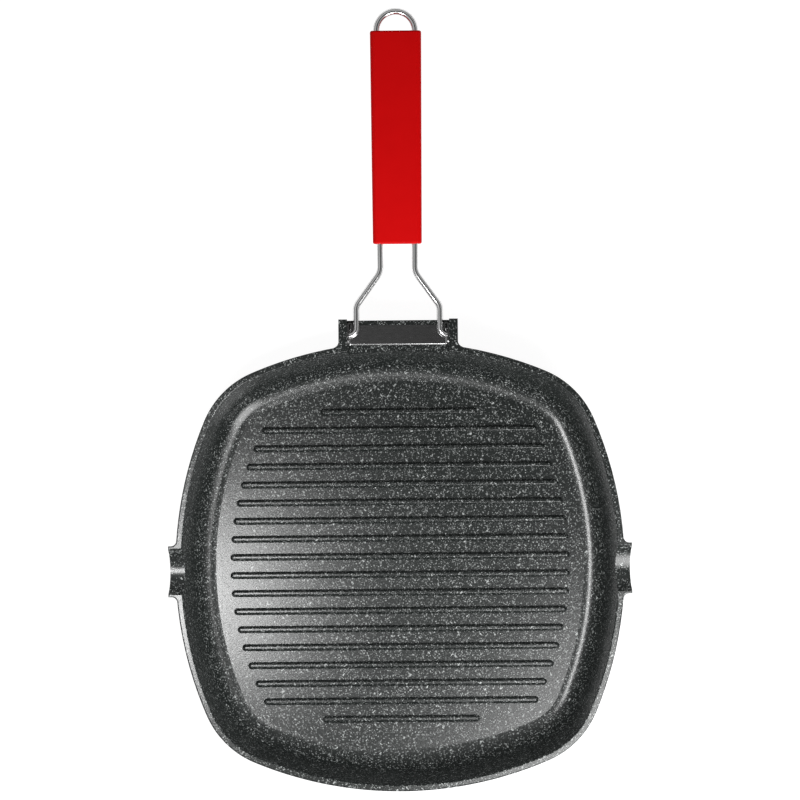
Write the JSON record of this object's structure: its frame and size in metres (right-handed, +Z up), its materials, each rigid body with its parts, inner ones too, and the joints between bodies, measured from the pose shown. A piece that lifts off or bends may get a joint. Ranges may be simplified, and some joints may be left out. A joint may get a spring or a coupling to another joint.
{
  "type": "grill pan",
  "caption": "Square cast grill pan with bowed sides, raised cooking ribs, pouring lips and a wire handle in a silicone sleeve that folds over the pan.",
  "frame": {"origin": "centre of the flat underside of the base", "axes": "+Z up, +Y from the pan's centre along the open handle, +X to the right with the handle pointing away"},
  "size_m": [0.2926, 0.4943, 0.0443],
  "materials": {
    "speckled_coating": "dark grey non-stick coating with small white and grey speckles",
    "saddle_steel": "bright rolled sheet",
    "chromed_wire": "polished",
    "red_silicone": "smooth satin silicone"
  },
  "bodies": {
    "pan": {"pan_body": "speckled_coating", "hinge_saddle": "saddle_steel"},
    "handle": {"wire_handle": "chromed_wire", "grip_sleeve": "red_silicone"}
  },
  "joints": [
    {"name": "handle_fold", "type": "hinge", "parent": "pan", "child": "handle", "pos_m": [0, 0.146, 0.0378], "axis": [1, 0, 0], "range_deg": [0, 180]}
  ]
}
